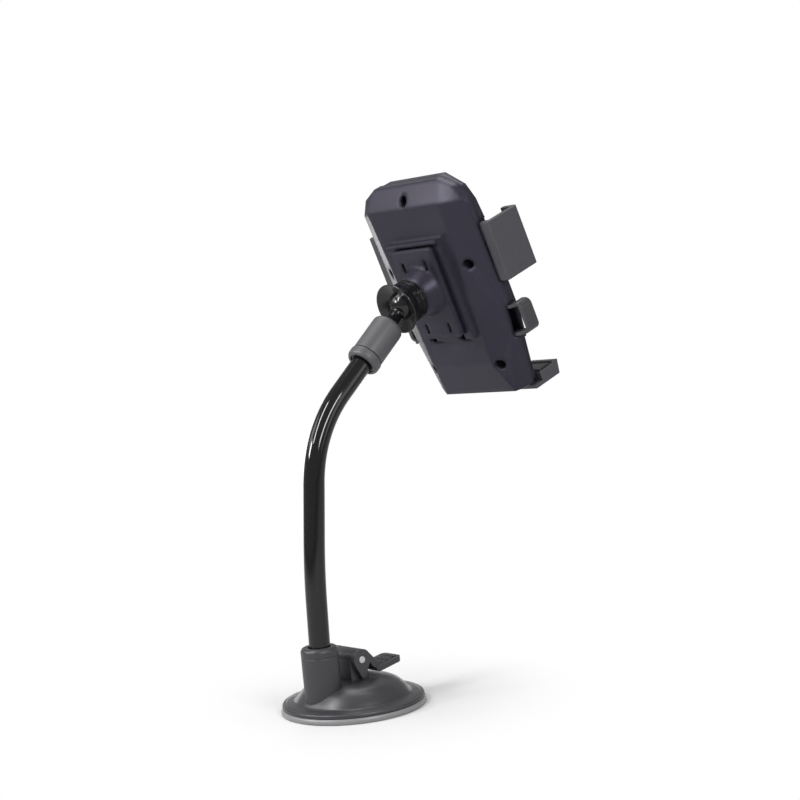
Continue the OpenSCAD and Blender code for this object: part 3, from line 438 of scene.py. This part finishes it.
def makeDome():
    # flat crown, round shoulder and a thin flange with a stepped rim, hollow underneath
    g = domeShape
    low, flangeTop, ceiling = g["flangeLow"], g["flangeTop"], g["top"] - g["wall"]
    rootRadius, rootRise, rootRounding = g["root"]
    mouthRise, mouthRounding = g["mouth"]
    outer = [(0, g["top"]), (g["flat"], g["top"], g["crownRounding"]), *g["shoulder"],
             (rootRadius, flangeTop + rootRise, rootRounding),
             *stepped(g["flangeRadius"], flangeTop, g["flangeSteps"]),
             *stepped(g["flangeRadius"], low, g["underSteps"], 1)]
    inner = [(g["foot"] - g["wall"], low + mouthRise, mouthRounding), *g["hollow"],
             (g["flat"], ceiling, g["ceilingRounding"]), (0, ceiling)]
    profile = roundedProfile(outer + inner, g["arcSteps"])
    dome = turned("baseDome", profile, Matrix.Identity(4), g["sides"], False)
    dress(dome, "shellPlastic", "base", "satin_plastic", "cup_shell")


def makeColumn():
    # the socket that holds the neck: a plain barrel with a bore that has a lead at its mouth
    g = columnShape
    r, h, bore, lead, floor = g["radius"], g["top"], g["boreRadius"], g["boreLead"], g["boreFloor"]
    corners = [(0, g["root"]), *stepped(r, g["root"], g["rootSteps"], 1), *stepped(r, h, g["sideSteps"]),
               (bore + lead, h, g["leadRounding"]), (bore, h - lead, g["leadRounding"]),
               (bore, floor), (0, floor)]
    place = Matrix.Translation((0, g["y"] * mm, 0))
    column = turned("neckColumn", roundedProfile(corners, g["arcSteps"]), place, g["sides"], False)
    dress(column, "satinPlastic", "base", "satin_plastic", "cup_shell")


makePad()
makeDome()
makeColumn()
# name: node, width of the rounded edges in mm, finish, body, slot
basePieces = {
    "pullBlock": ("pull_block", 0.4, "satinPlastic", "block", "satin_plastic"),
    "camLever": ("lever", 0.4, "satinPlastic", "lever", "satin_plastic"),
    "leverPin": ("lever_pin", 0.3, "brightSteel", "block", "steel"),
}
for name, (node, width, finishName, body, slot) in basePieces.items():
    dress(softCopy(name, node, width), finishName, body, slot, node)
print("suction base made")

# ---------------------------------------------------------------- neck, collar and ball

# the neck's route starts at (y, z) in mm: its leans in degrees, its straight runs and its bends' radii
neckRoute = {
    "start": (17.0, 19.6), "leans": (2.0, 7.0, 50.5), "runs": (31.0, 26.0, 30.4), "bends": (330.0, 57.0),
    "radius": 4.8, "step": 0.5, "sides": 96,
}
collarSize = {
    "radius": 7.5, "length": 25.0, "seat": 12.0, "groove": 4.3, "ringOut": 0.4, "boreGap": 0.05,
    "boreDepth": 10.0, "mouthDepth": 0.9, "mouth": [(5.8, 0.9, 0.3), (5.9, 0.0, 0.3)], "grooveEdge": 0.3,
    # from the ring's foot, from the groove's lower edge and from the barrel's top edge
    "ringSteps": [(0.9, 0, 0.6), (0, 1.1, 0.8)],
    "grooveSteps": [(0.6, 0.1, 0.1), (0.6, 0.6, 0.1), (0, 0.7, 0.1)],
    "topSteps": [(0, 1.6, 1.2), (1.5, 0, 1.2)],
    "stemBore": 3.2, "stemBoreDepth": 3.0, "boreSteps": [(-0.4, 0, 0.3), (0, 0.5, 0.2)],
    "arcSteps": 6, "sides": 96,
}
ballSize = {
    "ball": 7.0, "stem": 2.95, "stemLength": 13.4, "seatLength": 8.8, "seatRadius": 3.8, "seatHeight": 4.1,
    "rootOut": 0.35, "rootSteps": [(0, 0.8), (0.1, 0.3)], "arcPoints": 40, "sides": 72,
}
nutShape = {
    "foot": [(8.4, -5.8), (9.4, -5.9, 0.3), (10.05, -5.2, 0.4)],
    "grooves": [(10.05, -4.5, 0.1), (9.5, -4.35, 0.1), (9.5, -3.9, 0.1), (10.05, -3.75, 0.1),
                (10.05, -2.9, 0.1), (9.5, -2.75, 0.1), (9.5, -2.3, 0.1), (10.05, -2.15, 0.1)],
    "flare": [(10.05, 0.8, 0.9), (10.9, 3.0, 1.2), (12.0, 5.0, 0.6), (12.4, 5.5, 0.35), (12.2, 5.9, 0.25)],
    "cup": [(11.7, 5.85, 0.3), (6.75, 3.1, 0.5)],
    "seat": [(6.4, 2.95), (6.75, 2.0), (6.98, 1.0), (7.05, 0.0), (8.35, 0.0)],
    "arcSteps": 6, "sides": 96,
}


def heading(lean):
    lean = np.radians(lean)
    return np.stack([np.zeros_like(lean), -np.sin(lean), np.cos(lean)], axis=-1)


def neckPath():
    # straight runs and bends end to end: a bend of radius R moves by R (cos b - cos a, sin b - sin a)
    g = neckRoute
    low, mid, top = g["leans"]
    pieces, leans = [], []
    point = np.array([0, *g["start"]])
    route = (("run", g["runs"][0], low, low), ("bend", g["bends"][0], low, mid),
             ("run", g["runs"][1], mid, mid), ("bend", g["bends"][1], mid, top),
             ("run", g["runs"][2], top, top))
    for kind, size, a, b in route:
        length = size if kind == "run" else size * np.radians(b - a)
        count = max(2, int(length / g["step"]))
        t = np.linspace(0, 1, count, endpoint=False)
        lean = a + (b - a) * t
        if kind == "run":
            step = size * t[:, None] * heading(np.array([a]))
            full = size * heading(np.array([a]))[0]
        else:
            bent = np.radians(lean)
            step = size * np.stack([0 * t, np.cos(bent) - np.cos(np.radians(a)),
                                    np.sin(bent) - np.sin(np.radians(a))], axis=-1)
            full = size * np.array([0, np.cos(np.radians(b)) - np.cos(np.radians(a)),
                                    np.sin(np.radians(b)) - np.sin(np.radians(a))])
        pieces.append(point + step)
        leans.append(lean)
        point = point + full
    pieces.append(point[None])
    leans.append(np.array([top]))
    return np.vstack(pieces), np.concatenate(leans), point


neckPoints, neckLeans, neckEnd = neckPath()
sleeve = sweptTube("neckSleeve", neckPoints, heading(neckLeans), neckRoute["radius"], neckRoute["sides"])
dress(sleeve, "sleevePlastic", "base", "gloss_plastic", "neck_sleeve")
stemWay = heading(np.array([neckRoute["leans"][2]]))[0]
collarStart = neckEnd - collarSize["seat"] * stemWay


def makeCollar():
    # a smooth barrel with rounded ends, a recessed mouth round the sleeve and one narrow groove
    g = collarSize
    r, l, groove, ring = g["radius"], g["length"], g["groove"], g["radius"] + g["ringOut"]
    bore, stemFloor = neckRoute["radius"] + g["boreGap"], g["length"] - g["stemBoreDepth"]
    corners = [(bore, g["mouthDepth"]), *g["mouth"], *stepped(ring, 0, g["ringSteps"], 1),
               (ring, groove, g["grooveEdge"]), *stepped(r, groove, g["grooveSteps"], 1),
               *stepped(r, l, g["topSteps"]), *stepped(g["stemBore"], l, g["boreSteps"]),
               (g["stemBore"], stemFloor), (0, stemFloor), (0, g["boreDepth"]), (bore, g["boreDepth"])]
    collar = turned("topCollar", roundedProfile(corners, g["arcSteps"]),
                    standingAt(collarStart * mm, stemWay), g["sides"], True)
    dress(collar, "collarPlastic", "base", "satin_plastic", "top_collar")


def makeBall():
    # a sphere on a stem: heights run along the stem, with the ball's middle at 0
    g = ballSize
    stem, seat, lowest = g["stem"], g["seatRadius"], -g["stemLength"] - g["seatLength"]
    meet = -math.sqrt(g["ball"] ** 2 - (stem + g["rootOut"]) ** 2)
    turn = np.linspace(math.asin(meet / g["ball"]), np.pi / 2, g["arcPoints"])
    arc = np.stack([g["ball"] * np.cos(turn), g["ball"] * np.sin(turn)], axis=-1)
    seatTop = lowest + g["seatHeight"]
    root = [(stem + outwardsBy, meet - drop) for outwardsBy, drop in g["rootSteps"]]
    profile = np.vstack([[(0, lowest), (seat, lowest), (seat, seatTop), (stem, seatTop), *root], arc])
    profile[-1, 0] = 0
    place = standingAt(joints["ball_tilt"]["pos_m"], stemWay)
    stud = turned("ballStud", profile, place, g["sides"], False)
    dress(stud, "glossPlastic", "stud", "gloss_plastic", "ball_stud")


def makeNut():
    # a waisted nut that flares to a rolled rim; heights run along the socket's axis from the ball's middle
    g = nutShape
    corners = g["foot"] + g["grooves"] + g["flare"] + g["cup"] + g["seat"]
    place = standingAt(joints["cradle_spin"]["pos_m"], joints["cradle_spin"]["axis"])
    nut = turned("lockNut", roundedProfile(corners, g["arcSteps"]), place, g["sides"], True)
    dress(nut, "glossPlastic", "nut", "gloss_plastic", "lock_nut")


makeCollar()
makeBall()
makeNut()
dressSolid("neck_core", "brightSteel")
print("neck and ball joint made")

# ---------------------------------------------------------------- cradle

# name: node, width of the rounded edges in mm, finish, body
cradlePieces = {
    "clipPlate": ("clip_plate", 0.35, "coverPlastic", "cradle"),
    "backCover": ("back_cover", 0.6, "coverPlastic", "cradle"),
    "frontHousing": ("front_housing", 0.4, "coverPlastic", "cradle"),
    "jawRight": ("jaw_right", 0.3, "jawPlastic", "jaw_right"),
    "jawLeft": ("jaw_left", 0.3, "jawPlastic", "jaw_left"),
    "buttonRight": ("button_right", 0.3, "satinPlastic", "button_right"),
    "buttonLeft": ("button_left", 0.3, "satinPlastic", "button_left"),
    "footSlide": ("foot_slide", 0.4, "jawPlastic", "foot"),
    "restPad": ("rest_pad", 0.3, "padRubber", "cradle"),
    "jawPadRight": ("jaw_pad_right", 0.2, "padRubber", "jaw_right"),
    "jawPadLeft": ("jaw_pad_left", 0.2, "padRubber", "jaw_left"),
    "footPads": ("foot_pads", 0.2, "padRubber", "foot"),
}
for name, (node, width, finishName, body) in cradlePieces.items():
    slot = "rubber" if finishName == "padRubber" else "satin_plastic"
    dress(softCopy(name, node, width), finishName, body, slot, node)
dressSolid("cover_screws", "darkScrew")
dressSolid("pinion", "gearNylon")
print("cradle made")

# ---------------------------------------------------------------- floor and light

studio = {
    "ambient": 0.34,
    "floorHalf": 6,
    "floorPoints": 9,
    "floorColour": 0.60,
    "floorMirrored": 0.50,
    "floorRoughness": 0.9,
    "floorSpecular": 0.1,
    # distances from the middle between which the floor clears to white, in m
    "clearNear": 0.03,
    "clearFar": 0.11,
    "aim": (0.0, -0.01, 0.14),
    # the ends of each lamp as (right, up, towards the camera) from the aim and its width, in m,
    # and its radiance
    "lamps": {
        "overhead": ((-0.40, 1.20, -0.40), (0.50, 1.20, -0.40), 0.9, 3.2),
        "leftSoft": ((-0.95, 0.25, -0.15), (-0.95, 0.70, -0.15), 0.5, 2.8),
        "lowLeft": ((-0.93, 0.20, 0.24), (-0.93, 0.42, 0.24), 0.22, 34.0),
        "rightSoft": ((0.92, 0.05, 0.40), (0.92, 0.50, 0.40), 0.5, 1.6),
        "farLow": ((-0.60, -0.03, -1.05), (0.60, -0.03, -1.05), 0.14, 4.0),
        "streakLeft": ((-0.50, 0.92, 0.20), (-0.76, 0.44, 0.60), 0.16, 24.0),
        "streakRight": ((0.57, 0.58, 0.58), (0.29, 0.24, 0.95), 0.16, 19.0),
    },
}


def makeWorld():
    world = bpy.data.worlds.new("studioWorld")
    bpy.context.scene.world = world
    world.use_nodes = True
    nodes, links = world.node_tree.nodes, world.node_tree.links
    background = nodes["Background"]
    light = nodes.new("ShaderNodeLightPath")
    level = nodes.new("ShaderNodeMapRange")
    level.inputs["To Min"].default_value = studio["ambient"]
    level.inputs["To Max"].default_value = 1.0
    links.new(light.outputs["Is Camera Ray"], level.inputs["Value"])
    links.new(level.outputs["Result"], background.inputs["Strength"])
    background.inputs["Color"].default_value = (1, 1, 1, 1)


def makeFloor():
    # a wide floor that is plain paper near the object and clears to white further out
    count = studio["floorPoints"]
    line = np.linspace(-studio["floorHalf"], studio["floorHalf"], count)
    points = np.stack([*np.meshgrid(line, line, indexing="ij"), np.zeros((count, count))], axis=-1)
    floor = meshFrom("studioFloor", points.reshape(-1, 3), gridFaces(count, count, False, False))
    floor.data.flip_normals()
    material = bpy.data.materials.new("studioPaper")
    material.use_nodes = True
    nodes, links = material.node_tree.nodes, material.node_tree.links
    paper = nodes["Principled BSDF"]
    paper.inputs["Roughness"].default_value = studio["floorRoughness"]
    paper.inputs["Specular IOR Level"].default_value = studio["floorSpecular"]
    place = nodes.new("ShaderNodeTexCoord")
    distance = nodes.new("ShaderNodeVectorMath")
    distance.operation = "LENGTH"
    clear = nodes.new("ShaderNodeMapRange")
    clear.interpolation_type = "SMOOTHSTEP"
    clear.inputs["From Min"].default_value = studio["clearNear"]
    clear.inputs["From Max"].default_value = studio["clearFar"]
    light = nodes.new("ShaderNodeLightPath")
    tone = nodes.new("ShaderNodeMapRange")
    tone.inputs["To Min"].default_value = studio["floorColour"]
    tone.inputs["To Max"].default_value = studio["floorMirrored"]
    seen = nodes.new("ShaderNodeMath")
    seen.operation = "MULTIPLY"
    white = nodes.new("ShaderNodeEmission")
    mix = nodes.new("ShaderNodeMixShader")
    links.new(light.outputs["Is Glossy Ray"], tone.inputs["Value"])
    links.new(tone.outputs["Result"], paper.inputs["Base Color"])
    links.new(place.outputs["Object"], distance.inputs[0])
    links.new(distance.outputs["Value"], clear.inputs["Value"])
    links.new(clear.outputs["Result"], seen.inputs[0])
    links.new(light.outputs["Is Camera Ray"], seen.inputs[1])
    links.new(seen.outputs[0], mix.inputs["Fac"])
    links.new(paper.outputs["BSDF"], mix.inputs[1])
    links.new(white.outputs["Emission"], mix.inputs[2])
    links.new(mix.outputs["Shader"], nodes["Material Output"].inputs["Surface"])
    floor.data.materials.append(material)


def makeLamps():
    # a rectangle between its two ends, facing the aim: power = pi * area * radiance
    aim = Vector(studio["aim"])
    up = Vector((0, 0, 1))
    for name, (first, last, width, radiance) in studio["lamps"].items():
        ends = [aim + e[0] * viewRight + e[1] * up - e[2] * viewForward for e in (first, last)]
        along = ends[1] - ends[0]
        place = (ends[0] + ends[1]) / 2
        out = (place - aim).normalized()
        side = along.cross(out).normalized()
        out = side.cross(along).normalized()
        data = bpy.data.lights.new(name, "AREA")
        data.shape = "RECTANGLE"
        data.size, data.size_y = width, along.length
        data.energy = math.pi * width * along.length * radiance
        lamp = bpy.data.objects.new(name, data)
        lamp.visible_camera = False
        bpy.context.scene.collection.objects.link(lamp)
        turn = Matrix((side, along.normalized(), out)).transposed().to_4x4()
        lamp.matrix_world = Matrix.Translation(place) @ turn


makeWorld()
makeFloor()
makeLamps()
bpy.context.scene.view_settings.view_transform = "Standard"
print("studio made")
